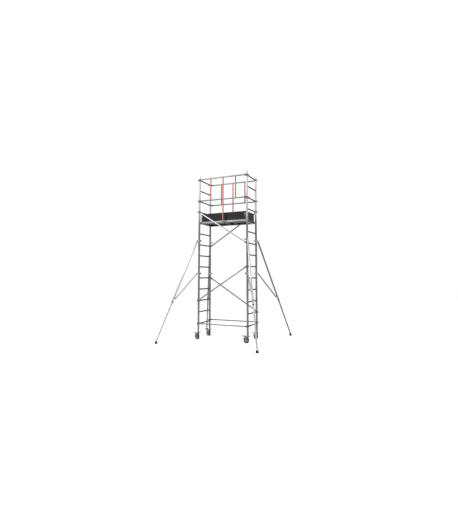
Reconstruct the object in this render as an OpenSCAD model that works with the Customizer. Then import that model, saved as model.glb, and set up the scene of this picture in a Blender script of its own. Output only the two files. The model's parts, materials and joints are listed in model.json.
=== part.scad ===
// Mobile tower scaffold, in millimetres. The origin is on the ground under the middle of the tower.
// +X runs along the long side to the right, +Y to the rear and +Z up.

/* [Tower] */
// Distance between the upright centres along the long side
bay_l = 1320; // [1150:10:1800]
// Distance between the upright centres across an end frame
frame_w = 600; // [580:10:760]
// Height from one rung to the next
rung_pitch = 280; // [250:5:340]
// Height of the lowest rung above the foot of the upright
first_rung_h = 200; // [160:5:260]
// Height of a frame's upper end above its top rung
joint_h = 50; // [40:2:60]
// Bare height of the spigot that carries a further frame
spigot_h = 54; // [40:2:80]

/* [Tubes] */
// Outer diameter of the uprights
upright_d = 50; // [42:1:60]
// Wall of the uprights
upright_wall = 2; // [1.5:0.1:3]
// Outer diameter of the rungs
rung_d = 32; // [26:1:38]
// Wall of the rungs, braces and rails
light_wall = 1.6; // [1.2:0.1:2.5]
// Outer diameter of the horizontal and diagonal braces
brace_d = 32; // [26:1:38]
// Outer diameter of the guard rails
rail_d = 34; // [28:1:40]
// Outer diameter of the coloured upright bars between the guard rails
bar_d = 32; // [22:1:33]
// Distance between neighbouring coloured bars
bar_pitch = 343; // [280:1:380]
// How far the middle bar of the front side stands from the middle of the bay, towards +X
front_bar_shift = 33; // [-40:1:40]
// How far the middle bar of the rear side stands from the middle of the bay, towards +X
rear_bar_shift = -5; // [-40:1:40]
// Height of the rear base brace over the front one
rear_base_lift = 30; // [0:5:60]

/* [Platform] */
// Height of the side rails of the platform
deck_rail_h = 60; // [48:2:80]
// Width of the side rails of the platform
deck_rail_w = 30; // [24:2:40]
// Thickness of the deck boards and of the trapdoor
board_t = 12; // [9:1:18]
// Length of the trapdoor
hatch_l = 560; // [450:10:640]
// Length of the narrow board at the far end of the trapdoor
end_board_l = 64; // [55:1:80]
// Height of the toe boards
toe_board_h = 205; // [150:5:210]
// Thickness of the toe boards
toe_board_t = 20; // [15:1:24]

/* [Castors] */
// Outer diameter of the tyre
wheel_d = 150; // [125:5:200]
// Width of the tyre
tyre_w = 38; // [30:1:44]
// Distance from the swivel axis back to the axle
castor_trail = 45; // [35:1:50]
// Diameter of the axle bolt
axle_d = 12; // [10:1:16]
// Direction in which each castor trails, counted from +X towards +Y
front_left_turn = 160; // [0:5:355]
front_right_turn = 165; // [0:5:355]
rear_left_turn = 160; // [0:5:355]
rear_right_turn = 150; // [0:5:355]

/* [Stabilisers] */
// Distance from the upright to the foot, seen from above
foot_reach = 1110; // [900:10:1250]
// Angle between the long side and a stabiliser, seen from above
stabiliser_turn = 58; // [50:1:62]
// Outer diameter of the upper, wider tube
main_d = 42; // [38:1:46]
// Outer diameter of the strut
strut_d = 32; // [26:1:36]
// Wall of the stabiliser tubes
stabiliser_wall = 2; // [1.5:0.1:3]
// How far the wider tube reaches past the collar of the strut
main_past_collar = 110; // [60:5:200]
// How far the thin leg reaches into the wider tube
leg_overlap = 450; // [400:10:600]
// Diameter of the rubber foot
foot_d = 64; // [60:2:90]

/* [Hidden] */
$fn = 48;
rungs_per_frame = 7;
upright_x = bay_l / 2;
upright_y = frame_w / 2;

// Clearances: between pieces that are welded or bolted, between pieces that move past each other,
// of a shaft in its hole, and of a tube that sits inside another
weld_gap = 0.2;
move_gap = 0.3;
shaft_gap = 0.06;
plug_gap = 0.2;

// Castor, counted up from the ground
wheel_r = wheel_d / 2;
crown_gap = 10;
crown_t = 6;
race_h = 11;
flange_h = 8;
crown_z = wheel_d + crown_gap;
leg_z = crown_z + crown_t + race_h + flange_h;
kingpin_r = 8;
kingpin_head_r = 14;
kingpin_head_h = 6;
race_r = 24;
stem_l = 100;
hub_half_w = 22.7;
cheek_in = hub_half_w + move_gap;
cheek_t = 4;
cheek_out = cheek_in + cheek_t;
axle_boss_r = 18;
rim_w = 36;
rim_t = 9;
tyre_t = 19;
crown_front = 34;
crown_back = castor_trail + 17;
pedal_gap = 1.5;
pedal_t = 3;
pedal_arm_w = 14;
pivot_r = 4;
shoe_r = 5;
shoe_lift = 5;

// Levels of the tower
function rung_z(k) = leg_z + first_rung_h + (k - 1) * rung_pitch;
joint_z = rung_z(rungs_per_frame) + joint_h;
top_z = rung_z(2 * rungs_per_frame) + joint_h;
spigot_wall = 3;
spigot_depth = 96;
spigot_ease = 0.5;
clip_z = joint_z + 30;
clip_pin_r = 4;
clip_t = 2.5;
clip_h = 14;

// Braces and rails run outside the uprights, in one plane on each side
claw_wall = 7.5;
claw_h = 44;
socket_wall = 3.5;
socket_l = 70;
tube_back = 8;
side_y = upright_d / 2 + 5 + rail_d / 2;
latch_h = 20;
latch_reach = 27;

// Platform
platform_half_w = upright_y - upright_d / 2 - 5;
deck_z = rung_z(10) + 25;
deck_low_z = deck_z - deck_rail_h;
board_z = deck_z - board_t;
rail_in_y = platform_half_w - deck_rail_w;
rail_end_x = upright_x - rung_d / 2 - 12;
end_beam_w = 40;
cross_w = 30;
cross_h = 30;
board_gap = 3;
board_end_x = rail_end_x - 2;
hatch_x1 = board_end_x - end_board_l - board_gap;
hatch_x0 = hatch_x1 - hatch_l;
hatch_half_w = rail_in_y - 2.5;
ledge_w = 15;
ledge_h = 12;
hook_wall = 8;
hook_w = 24;
hinge_y = rail_in_y - 4;
hinge_z = deck_z + 5;
knuckle_r = 5;
knuckle_l = 20;
hinge_pin_r = 2.5;
hinge_leaf_t = 2;
hinge_inset = 110;
latch_x = (hatch_x0 + hatch_x1) / 2;
latch_y = -(rail_in_y - 30);
latch_stem_r = 4;
latch_arm_l = 28;
latch_arm_w = 16;
latch_arm_t = 5;

// Stabiliser, in the upright plane through its own axis: r is the distance from the upright
clamp_gap = move_gap;
clamp_wall = 6;
clamp_h = 46;
clevis_r = upright_d / 2 + clamp_gap + clamp_wall + main_d / 2 + 2.7;
clevis_t = 5;
tongue_t = 12;
bolt_r = 6;
knob_r = 16;
knob_h = 16;
knob_at = upright_d / 2 + clamp_gap + clamp_wall + knob_r + 3;
knob_bolt_r = 5;
top_clamp_z = rung_z(8) + 95;
strut_clamp_z = rung_z(5) + 110;
collar_z = rung_z(3) + 85;
foot_pin_z = 45;
foot_top_z = foot_pin_z + 13;
foot_tongue_r = 16;
foot_tongue_t = 16;
main_run = [foot_reach - clevis_r, top_clamp_z - foot_pin_z];
main_axis_l = norm(main_run);
main_tilt = atan2(main_run[0], main_run[1]);
collar_s = (top_clamp_z - collar_z) / cos(main_tilt);
collar_wall = 5;
collar_arm = main_d / 2 + collar_wall + strut_d / 2 + 2;
main_l = collar_s + main_past_collar;
collar_eye = [clevis_r + collar_s * sin(main_tilt) - collar_arm * cos(main_tilt),
              collar_z - collar_arm * sin(main_tilt)];
strut_run = [collar_eye[0] - clevis_r, strut_clamp_z - collar_eye[1]];
strut_axis_l = norm(strut_run);
strut_tilt = atan2(strut_run[0], strut_run[1]);
main_top_s = 45;
strut_end_s = 48;

CORNERS = ["front_left", "front_right", "rear_left", "rear_right"];
SIDE_X = [-1, 1, -1, 1];
SIDE_Y = [-1, -1, 1, 1];
TURNS = [front_left_turn, front_right_turn, rear_left_turn, rear_right_turn];

// ---- Helpers ----

module flip(on, normal) {
  if (on) mirror(normal) children();
  else children();
}

// Places children that are drawn for the rear right corner at any corner, mirrored to suit
module at_corner(side_x, side_y) {
  translate([side_x * upright_x, side_y * upright_y, 0])
    flip(side_x < 0, [1, 0, 0]) flip(side_y < 0, [0, 1, 0]) children();
}

module tube(d, wall, l) {
  difference() {
    cylinder(h = l, d = d);
    translate([0, 0, -1]) cylinder(h = l + 2, d = d - 2 * wall);
  }
}

// A flat bar with round ends between two points of a plane
module link(a, b, w) {
  run = b - a;
  translate(a) circle(d = w);
  translate(b) circle(d = w);
  translate(a) rotate(atan2(run[1], run[0])) translate([0, -w / 2]) square([norm(run), w]);
}

// Point where the line from p touches the circle of radius r round c, on the side given as 1 or -1
function touch_point(p, c, r, side) =
  let (run = c - p, reach = norm(run), a = atan2(run[1], run[0]) + side * asin(r / reach))
  p + sqrt(reach * reach - r * r) * [cos(a), sin(a)];

// ---- Frames ----

module frame_upright(z0, z1, side_x, side_y, clip_hole) {
  translate([side_x * upright_x, side_y * upright_y, 0]) difference() {
    translate([0, 0, z0]) tube(upright_d, upright_wall, z1 - z0);
    if (clip_hole) translate([0, 0, clip_z]) rotate([0, 90 * side_x, 0])
      cylinder(h = upright_d, r = clip_pin_r + plug_gap);
  }
}

module frame_rung(side_x, k) {
  translate([side_x * upright_x, 0, rung_z(k)]) difference() {
    translate([0, upright_y, 0]) rotate([90, 0, 0]) tube(rung_d, light_wall, frame_w);
    for (side_y = [-1, 1])
      translate([0, side_y * upright_y, -rung_d]) cylinder(h = 2 * rung_d, d = upright_d + 2 * weld_gap);
  }
}

module frame(side_x, first, z0, z1, clip_hole) {
  color("silver") {
    for (side_y = [-1, 1]) frame_upright(z0, z1, side_x, side_y, clip_hole);
    for (k = [first : first + rungs_per_frame - 1]) frame_rung(side_x, k);
  }
}

module base_frame(side_x) {
  frame(side_x, 1, leg_z, joint_z, false);
}

module top_frame(side_x) {
  frame(side_x, rungs_per_frame + 1, joint_z + weld_gap, top_z, true);
}

// A tube that fills the bore of the uprights, with a slightly thinner part that stands free
module spigot(z, free_h) {
  plug_r = upright_d / 2 - upright_wall - plug_gap;
  free_r = plug_r - spigot_ease;
  lead = 5;
  translate([0, 0, z]) rotate_extrude() polygon([
    [plug_r - spigot_wall, -spigot_depth],
    [plug_r, -spigot_depth],
    [plug_r, 0],
    [free_r, 0],
    [free_r, free_h - lead],
    [free_r - lead / 2, free_h],
    [plug_r - spigot_wall - 0.5, free_h],
    [plug_r - spigot_wall - 0.5, 0],
    [plug_r - spigot_wall, 0]
  ]);
}

module frame_spigots() {
  color("gainsboro") for (side_x = [-1, 1], side_y = [-1, 1]) {
    translate([side_x * upright_x, side_y * upright_y, 0]) {
      difference() {
        spigot(joint_z, spigot_h);
        translate([0, 0, clip_z]) rotate([0, 90 * side_x, 0])
          cylinder(h = upright_d, r = clip_pin_r + plug_gap);
      }
      spigot(top_z, spigot_h);
    }
  }
}

// A spring band with a pin that locks the upper frame onto its spigot
module spigot_clips() {
  band_r = upright_d / 2 + plug_gap;
  pin_in = upright_wall + spigot_wall + 4;
  color("dimgray") for (side_x = [-1, 1], side_y = [-1, 1]) {
    translate([side_x * upright_x, side_y * upright_y, clip_z]) flip(side_x < 0, [1, 0, 0]) {
      difference() {
        cylinder(h = clip_h, r = band_r + clip_t, center = true);
        cylinder(h = 2 * clip_h, r = band_r, center = true);
        translate([-2 * band_r, -band_r * 0.6, -clip_h]) cube([2 * band_r, band_r * 1.2, 2 * clip_h]);
      }
      translate([band_r - pin_in, 0, 0]) rotate([0, 90, 0])
        cylinder(h = pin_in + clip_t + 3, r = clip_pin_r);
    }
  }
}

// ---- Braces, rails and their claws ----

// Angle at which a brace climbs from its left end to its right end
function brace_climb(z_left, z_right) = atan2(z_right - z_left, bay_l);

module brace(side, d, z_left, z_right) {
  climb = brace_climb(z_left, z_right);
  full = bay_l / cos(climb);
  translate([0, side * (upright_y + side_y), (z_left + z_right) / 2])
    rotate([0, 90 - climb, 0]) translate([0, 0, -full / 2 - tube_back])
      tube(d, light_wall, full + 2 * tube_back);
}

// The claw at one end of a brace: a cup that holds the upright from outside, and a socket for the tube
module claw(d, climb) {
  cup_r = upright_d / 2 + plug_gap;
  socket_r = d / 2 + plug_gap;
  difference() {
    union() {
      cylinder(h = claw_h, r = cup_r + claw_wall, center = true);
      translate([-socket_r, upright_d / 2, -claw_h / 2 + 2])
        cube([2 * socket_r, side_y - upright_d / 2, claw_h - 4]);
      translate([0, side_y, 0]) rotate([0, 90 - climb, 0])
        translate([0, 0, -tube_back - 4]) cylinder(h = socket_l + 4, r = socket_r + socket_wall);
    }
    cylinder(h = 3 * claw_h, r = cup_r, center = true);
    translate([-upright_d, -2 * upright_d, -claw_h]) cube([2 * upright_d, 2 * upright_d - 4, 2 * claw_h]);
    translate([0, side_y, 0]) rotate([0, 90 - climb, 0])
      translate([0, 0, -tube_back - plug_gap]) cylinder(h = socket_l + tube_back + 10, r = socket_r);
  }
}

// The sprung latch that closes a claw behind the upright, with its thumb tab
module claw_latch() {
  cup_r = upright_d / 2 + plug_gap;
  difference() {
    union() {
      cylinder(h = latch_h, r = cup_r + claw_wall - 1, center = true);
      translate([-upright_d / 2 - latch_reach - 8, -18, -latch_h / 2])
        cube([latch_reach + 8, 14 - plug_gap, latch_h]);
    }
    cylinder(h = 3 * latch_h, r = cup_r, center = true);
    translate([-upright_d, -4 - plug_gap, -latch_h]) cube([2 * upright_d, 2 * upright_d, 2 * latch_h]);
    translate([-rung_d / 2 - 3, -2 * upright_d, -latch_h]) cube([2 * upright_d, 3 * upright_d, 2 * latch_h]);
  }
}

// Puts children at both ends of a brace: drawn with the bay on +X and the outside of the tower on +Y
module at_brace_end(side, side_x, z) {
  translate([side_x * upright_x, side * upright_y, z])
    flip(side_x > 0, [1, 0, 0]) flip(side < 0, [0, 1, 0]) children();
}

// Each brace and rail as side, tube diameter, height of the left end and height of the right end
BRACES = [
  [-1, brace_d, rung_z(1), rung_z(1)],
  [1, brace_d, rung_z(1) + rear_base_lift, rung_z(1) + rear_base_lift],
  [-1, brace_d, rung_z(3), rung_z(6)],
  [1, brace_d, rung_z(5), rung_z(2)],
  [-1, brace_d, rung_z(11), rung_z(8)],
  [1, brace_d, rung_z(8), rung_z(11)],
  [-1, rail_d, rung_z(12), rung_z(12)],
  [-1, rail_d, rung_z(14), rung_z(14)],
  [1, rail_d, rung_z(12), rung_z(12)],
  [1, rail_d, rung_z(14), rung_z(14)]
];

module listed_brace(i) {
  color("gainsboro") brace(BRACES[i][0], BRACES[i][1], BRACES[i][2], BRACES[i][3]);
}

module brace_claws() {
  color("gray") for (b = BRACES, side_x = [-1, 1]) {
    climb = -side_x * brace_climb(b[2], b[3]);
    at_brace_end(b[0], side_x, side_x < 0 ? b[2] : b[3]) claw(b[1], climb);
  }
}

module claw_latches() {
  color("firebrick") for (b = BRACES, side_x = [-1, 1])
    at_brace_end(b[0], side_x, side_x < 0 ? b[2] : b[3]) claw_latch();
}

module guardrail(first) {
  listed_brace(first);
  listed_brace(first + 1);
}

// Round bar between two heights, hollowed at its ends to fit the rails there
module rail_bar(x, side, z_low, z_high) {
  y = side * (upright_y + side_y);
  difference() {
    translate([x, y, z_low]) tube(bar_d, light_wall, z_high - z_low);
    for (z = [rung_z(12), rung_z(14)])
      translate([x - bar_d, y, z]) rotate([0, 90, 0]) cylinder(h = 2 * bar_d, d = rail_d + 2 * weld_gap);
  }
}

// Three bars between the two rails of each side, and one from the lower rail to the platform
module guardrail_bars() {
  foot_t = 8;
  foot_w = 40;
  foot_z = deck_z - deck_rail_h / 2 - foot_t / 2;
  foot_y = upright_y + side_y + bar_d / 2 + 4;
  color("orangered") for (side = [-1, 1]) {
    middle = side > 0 ? rear_bar_shift : front_bar_shift;
    for (step = [-1, 0, 1]) rail_bar(middle + step * bar_pitch, side, rung_z(12), rung_z(14));
    rail_bar(middle, side, foot_z + foot_t, rung_z(12));
    translate([middle - foot_w / 2, side > 0 ? platform_half_w : -foot_y, foot_z])
      cube([foot_w, foot_y - platform_half_w, foot_t]);
  }
}

// ---- Platform ----

module platform_frame() {
  color("silver") {
    for (side = [-1, 1]) {
      translate([-rail_end_x, side > 0 ? rail_in_y : -platform_half_w, deck_low_z])
        cube([2 * rail_end_x, deck_rail_w, deck_rail_h]);
      translate([side > 0 ? rail_end_x - end_beam_w : -rail_end_x, -rail_in_y + weld_gap, deck_low_z])
        cube([end_beam_w, 2 * (rail_in_y - weld_gap), board_z - deck_low_z]);
    }
    for (x = [(hatch_x0 - rail_end_x) / 2, hatch_x0 - board_gap / 2, hatch_x1 + board_gap / 2])
      translate([x - cross_w / 2, -rail_in_y + weld_gap, board_z - cross_h])
        cube([cross_w, 2 * (rail_in_y - weld_gap), cross_h]);
    ledge_x0 = hatch_x0 - board_gap / 2 + cross_w / 2 + weld_gap;
    ledge_x1 = hatch_x1 + board_gap / 2 - cross_w / 2 - weld_gap;
    translate([ledge_x0, -rail_in_y + weld_gap, board_z - ledge_h - move_gap])
      cube([ledge_x1 - ledge_x0, ledge_w - weld_gap, ledge_h]);
  }
}

// A hook that hangs the end of a side rail on the rung
module platform_hook() {
  hook_r = rung_d / 2 + plug_gap;
  lip = 8;
  translate([0, -hook_w / 2, rung_z(10)]) rotate([90, 0, 0]) mirror([0, 0, 1]) linear_extrude(hook_w)
    difference() {
      union() {
        circle(r = hook_r + hook_wall);
        translate([rail_end_x - upright_x, deck_low_z - rung_z(10) + 2])
          square([hook_wall, deck_z - deck_low_z - 3]);
        translate([rail_end_x - upright_x, 0]) square([-rail_end_x + upright_x, hook_r + hook_wall]);
      }
      circle(r = hook_r);
      translate([-hook_r, -2 * rung_d]) square([3 * rung_d, 2 * rung_d - lip]);
      translate([-hook_r, -2 * rung_d]) square([2 * hook_r, 2 * rung_d]);
    }
}

module platform_hooks() {
  color("gray") for (side_x = [-1, 1], side = [-1, 1])
    translate([side_x * upright_x, side * (rail_in_y + deck_rail_w / 2), 0])
      flip(side_x < 0, [1, 0, 0]) platform_hook();
}

module deck_boards() {
  color("saddlebrown") {
    for (x = [[-board_end_x, hatch_x0 - board_gap], [hatch_x1 + board_gap, board_end_x]])
      translate([x[0], -rail_in_y + weld_gap, board_z])
        cube([x[1] - x[0], 2 * (rail_in_y - weld_gap), board_t]);
  }
}

module trapdoor() {
  color("peru") difference() {
    translate([hatch_x0, -hatch_half_w, board_z]) cube([hatch_l, 2 * hatch_half_w, board_t]);
    translate([latch_x, latch_y, board_z - 1]) cylinder(h = board_t + 2, r = latch_stem_r + shaft_gap);
  }
}

HINGE_X = [hatch_x0 + hinge_inset, hatch_x1 - hinge_inset];

// One knuckle of a hinge, centred on x, with room for the pin
module knuckle(x, bore_r) {
  translate([x - knuckle_l / 2, hinge_y, hinge_z]) rotate([0, 90, 0]) difference() {
    cylinder(h = knuckle_l, r = knuckle_r);
    translate([0, 0, -1]) cylinder(h = knuckle_l + 2, r = bore_r);
  }
}

// The leaves that move with the trapdoor, each with the middle knuckle of its hinge
module trapdoor_leaves() {
  leaf_w = 36;
  color("dimgray") for (x = HINGE_X) difference() {
    union() {
      knuckle(x, hinge_pin_r + shaft_gap);
      translate([x - knuckle_l / 2, hinge_y - knuckle_r - leaf_w, deck_z])
        cube([knuckle_l, leaf_w + knuckle_r, hinge_leaf_t]);
    }
    translate([x - knuckle_l, hinge_y, hinge_z]) rotate([0, 90, 0])
      cylinder(h = 2 * knuckle_l, r = hinge_pin_r + shaft_gap);
  }
}

// The leaves on the side rail, each with two outer knuckles and the hinge pin
module trapdoor_hinges() {
  leaf_h = 40;
  pitch = knuckle_l + move_gap;
  pin_l = 3 * knuckle_l + 2 * move_gap;
  color("dimgray") for (x = HINGE_X) {
    for (side = [-1, 1]) difference() {
      union() {
        knuckle(x + side * pitch, hinge_pin_r);
        translate([x + side * pitch - knuckle_l / 2, rail_in_y - hinge_leaf_t, hinge_z - leaf_h])
          cube([knuckle_l, hinge_leaf_t, leaf_h]);
      }
      translate([x - 2 * pitch, hinge_y, hinge_z]) rotate([0, 90, 0])
        cylinder(h = 4 * pitch, r = hinge_pin_r);
    }
    translate([x - pin_l / 2, hinge_y, hinge_z]) rotate([0, 90, 0]) cylinder(h = pin_l, r = hinge_pin_r);
  }
}

// Turn button: an arm under the trapdoor, a stem through it and a thumb disc on top
module trapdoor_latch() {
  arm_z = board_z - move_gap - ledge_h - 0.5 - latch_arm_t;
  disc_z = deck_z + move_gap;
  color("black") translate([latch_x, latch_y, 0]) {
    translate([0, 0, arm_z]) linear_extrude(latch_arm_t)
      link([0, 0], [latch_arm_l - latch_arm_w / 2, 0], latch_arm_w);
    translate([0, 0, arm_z]) cylinder(h = board_z - move_gap - arm_z, r = latch_stem_r + 3);
    translate([0, 0, arm_z]) cylinder(h = disc_z - arm_z + 1, r = latch_stem_r);
    translate([0, 0, disc_z]) cylinder(h = 4, r = 14);
  }
}

module long_toe_board(side) {
  length = 2 * (rail_end_x - 10);
  y_out = platform_half_w - 2;
  color("black") translate([-length / 2, side > 0 ? y_out - toe_board_t : -y_out, deck_z])
    cube([length, toe_board_t, toe_board_h]);
}

module end_toe_boards() {
  half_w = platform_half_w - 2 - toe_board_t - weld_gap;
  color("black") for (side_x = [-1, 1])
    translate([side_x > 0 ? rail_end_x - 10 - toe_board_t : -rail_end_x + 10, -half_w, deck_z])
      cube([toe_board_t, 2 * half_w, toe_board_h]);
}

// ---- Castors ----

// Places children on the swivel axis of a corner, with +X in the direction in which the castor trails
module at_castor(i) {
  translate([SIDE_X[i] * upright_x, SIDE_Y[i] * upright_y, 0]) rotate([0, 0, TURNS[i]]) children();
}

// Stem, swivel race and riveted kingpin, turned in one piece
module castor_stem() {
  plug_r = upright_d / 2 - upright_wall - plug_gap;
  lead = 4;
  head_z = crown_z - move_gap;
  rotate_extrude() polygon([
    [0, head_z - kingpin_head_h],
    [kingpin_head_r, head_z - kingpin_head_h],
    [kingpin_head_r, head_z],
    [kingpin_r, head_z],
    [kingpin_r, crown_z + crown_t + move_gap],
    [race_r, crown_z + crown_t + move_gap],
    [race_r, leg_z - flange_h],
    [upright_d / 2 + 3, leg_z - flange_h],
    [upright_d / 2 + 3, leg_z],
    [plug_r, leg_z],
    [plug_r, leg_z + stem_l - lead],
    [plug_r - lead, leg_z + stem_l],
    [0, leg_z + stem_l]
  ]);
}

module castor_stems() {
  color("dimgray") for (i = [0 : 3]) at_castor(i) castor_stem();
}

module fork_cheek_outline() {
  axle = [castor_trail, wheel_r];
  front = [-crown_front + 6, crown_z + crown_t];
  back = [crown_back - 2, crown_z + crown_t];
  polygon([
    front,
    touch_point(front, axle, axle_boss_r, -1),
    axle,
    touch_point(back, axle, axle_boss_r, 1),
    back
  ]);
  translate(axle) circle(r = axle_boss_r);
}

PEDAL_PIVOT = [castor_trail + 5, crown_z - 12];

module fork(i) {
  axle_gap = 0.1;
  head_t = 8;
  color("gray") at_castor(i) {
    difference() {
      union() {
        translate([-crown_front, -cheek_out, crown_z])
          cube([crown_front + crown_back, 2 * cheek_out, crown_t]);
        for (side = [-1, 1]) {
          translate([0, side > 0 ? cheek_out : -cheek_in, 0]) rotate([90, 0, 0])
            linear_extrude(cheek_t) fork_cheek_outline();
          pivot_y = side > 0 ? cheek_out : -cheek_out - pedal_gap - pedal_t - 1;
          translate([PEDAL_PIVOT[0], pivot_y, PEDAL_PIVOT[1]]) rotate([-90, 0, 0])
            cylinder(h = pedal_gap + pedal_t + 1, r = pivot_r);
        }
      }
      translate([0, 0, crown_z - 1]) cylinder(h = crown_t + 2, r = kingpin_r + shaft_gap);
      translate([castor_trail, cheek_out + 1, wheel_r]) rotate([90, 0, 0])
        cylinder(h = 2 * cheek_out + 2, r = axle_d / 2 + axle_gap);
    }
    translate([castor_trail, 0, wheel_r]) rotate([90, 0, 0]) {
      cylinder(h = 2 * (cheek_out + axle_gap) + 2, r = axle_d / 2, center = true);
      for (side = [-1, 1])
        translate([0, 0, side > 0 ? cheek_out + axle_gap : -cheek_out - axle_gap - head_t])
          cylinder(h = head_t, r = axle_d * 0.85, $fn = 6);
    }
  }
}

// Places children on the wheel's axis, with +Z along the axle
module at_axle(i) {
  at_castor(i) translate([castor_trail, 0, wheel_r]) rotate([90, 0, 0]) children();
}

// Rim, web and hub with its running bore; round holes lighten the web
module wheel(i) {
  rim_r = wheel_r - tyre_t;
  hub_r = 17;
  web_t = 10;
  hole_r = (rim_r - rim_t - hub_r) * 0.32;
  hole_at = (rim_r - rim_t + hub_r) / 2;
  holes = 6;
  color("darkgray") at_axle(i) difference() {
    union() {
      cylinder(h = 2 * hub_half_w, r = hub_r, center = true);
      cylinder(h = web_t, r = rim_r - 1, center = true);
      difference() {
        cylinder(h = rim_w, r = rim_r, center = true);
        cylinder(h = rim_w + 2, r = rim_r - rim_t, center = true);
      }
    }
    cylinder(h = 3 * hub_half_w, r = axle_d / 2 + shaft_gap, center = true);
    for (k = [0 : holes - 1]) rotate([0, 0, k * 360 / holes]) translate([hole_at, 0, 0])
      cylinder(h = 2 * web_t, r = hole_r, center = true);
  }
}

module tyre(i) {
  shoulder = 8;
  inner_r = wheel_r - tyre_t;
  color("black") at_axle(i) rotate_extrude() {
    translate([inner_r, -tyre_w / 2]) square([tyre_t - shoulder, tyre_w]);
    translate([inner_r, -tyre_w / 2 + shoulder]) square([tyre_t, tyre_w - 2 * shoulder]);
    for (side = [-1, 1])
      translate([wheel_r - shoulder, side * (tyre_w / 2 - shoulder)]) circle(r = shoulder);
  }
}

// Rocking brake pedal: two arms outside the fork, a pad at each end and a bar that brakes the tyre
module brake_pedal(i) {
  arm_in = cheek_out + pedal_gap;
  arm_out = arm_in + pedal_t;
  pad_t = 5;
  shoe_x = castor_trail + 50;
  shoe_dist = wheel_r + shoe_r + shoe_lift;
  shoe_z = wheel_r + sqrt(shoe_dist * shoe_dist - 50 * 50);
  front_end = [-crown_front - 22, crown_z + 3];
  back_end = [castor_trail + wheel_r + 30, crown_z - 4];
  front_pad_l = 22;
  back_pad_l = 40;
  color("lightgray") at_castor(i) {
    difference() {
      for (side = [-1, 1]) translate([0, side > 0 ? arm_out : -arm_in, 0]) rotate([90, 0, 0])
        linear_extrude(pedal_t) {
          link(front_end, PEDAL_PIVOT, pedal_arm_w);
          link(PEDAL_PIVOT, back_end, pedal_arm_w);
        }
      translate([PEDAL_PIVOT[0], arm_out + 1, PEDAL_PIVOT[1]]) rotate([90, 0, 0])
        cylinder(h = 2 * arm_out + 2, r = pivot_r + shaft_gap);
    }
    translate([front_end[0] - front_pad_l / 2, -arm_out, front_end[1]])
      cube([front_pad_l, 2 * arm_out, pad_t]);
    translate([back_end[0] - back_pad_l / 2, -arm_out, back_end[1]]) cube([back_pad_l, 2 * arm_out, pad_t]);
    translate([shoe_x, arm_out, shoe_z]) rotate([90, 0, 0]) cylinder(h = 2 * arm_out, r = shoe_r);
  }
}

// ---- Stabilisers ----

// Places children in the stabiliser's own frame: +X away from the upright, at a height
module at_stabiliser(z) {
  rotate([0, 0, stabiliser_turn]) translate([0, 0, z]) children();
}

// A clamp round the upright: its clevis holds a tube end, its ears a bolt with a hand knob
module clamp_body(z) {
  bore_r = upright_d / 2 + clamp_gap;
  ring_r = bore_r + clamp_wall;
  clevis_in = tongue_t / 2 + move_gap;
  ear_in = 3;
  ear_t = 5;
  ear_h = 36;
  translate([0, 0, z]) difference() {
    union() {
      cylinder(h = clamp_h, r = ring_r, center = true);
      rotate([0, 0, stabiliser_turn]) for (side = [-1, 1])
        translate([0, side > 0 ? clevis_in : -clevis_in - clevis_t, 0]) {
          translate([bore_r, 0, -18]) cube([clevis_r - bore_r, clevis_t, 36]);
          translate([clevis_r, clevis_t, 0]) rotate([90, 0, 0]) cylinder(h = clevis_t, r = 18);
        }
      for (side = [-1, 1])
        translate([-knob_at - 9, side > 0 ? ear_in : -ear_in - ear_t, -ear_h / 2])
          cube([knob_at + 9 - bore_r + 2, ear_t, ear_h]);
    }
    cylinder(h = 2 * clamp_h, r = bore_r, center = true);
    translate([-2 * knob_at, -ear_in, -clamp_h]) cube([2 * knob_at, 2 * ear_in, 2 * clamp_h]);
    rotate([0, 0, stabiliser_turn]) translate([clevis_r, knob_at, 0]) rotate([90, 0, 0])
      cylinder(h = 2 * knob_at, r = bolt_r + weld_gap);
    translate([-knob_at, knob_at, 0]) rotate([90, 0, 0])
      cylinder(h = 2 * knob_at, r = knob_bolt_r + weld_gap);
  }
}

// The hand knob and its bolt, through the ears of a clamp
module clamp_knob(z) {
  ear_out = 8;
  nut_t = 8;
  lobes = 5;
  translate([-knob_at, 0, z]) {
    translate([0, -ear_out - 1, 0]) rotate([-90, 0, 0]) cylinder(h = 2 * ear_out + 2, r = knob_bolt_r);
    translate([0, -ear_out - weld_gap, 0]) rotate([90, 0, 0])
      cylinder(h = nut_t, r = knob_bolt_r * 1.7, $fn = 6);
    translate([0, ear_out + weld_gap, 0]) rotate([-90, 0, 0]) {
      cylinder(h = knob_h, r = knob_r * 0.75);
      for (k = [0 : lobes - 1]) rotate([0, 0, k * 360 / lobes])
        translate([knob_r * 0.7, 0, 0]) cylinder(h = knob_h, r = knob_r * 0.32);
    }
  }
}

// Bolt across a joint of the stabiliser, with its head and nut
module cross_bolt(half_w) {
  head_t = 6;
  rotate([90, 0, 0]) {
    cylinder(h = 2 * half_w + 2 * weld_gap + 2, r = bolt_r, center = true);
    for (side = [-1, 1]) translate([0, 0, side > 0 ? half_w + weld_gap : -half_w - weld_gap - head_t])
      cylinder(h = head_t, r = bolt_r * 1.75, $fn = 6);
  }
}

// A tube along +Z with a pressed flat tongue at its start, and one at its end if that is asked for
module tongued_tube(d, start, length, both) {
  eye_r = 16;
  inner = d - 2 * stabiliser_wall;
  difference() {
    union() {
      translate([0, 0, start]) tube(d, stabiliser_wall, length - (both ? 2 : 1) * start);
      for (end = both ? [0, 1] : [0]) translate([0, 0, end * length]) flip(end > 0, [0, 0, 1]) {
        translate([-inner / 2, -tongue_t / 2, 0]) cube([inner, tongue_t, start + 20]);
        rotate([90, 0, 0]) cylinder(h = tongue_t, r = inner / 2, center = true);
      }
    }
    for (end = both ? [0, 1] : [0]) translate([0, 0, end * length]) rotate([90, 0, 0])
      cylinder(h = 2 * eye_r, r = bolt_r + weld_gap, center = true);
  }
}

clevis_half_w = tongue_t / 2 + move_gap + clevis_t;

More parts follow.
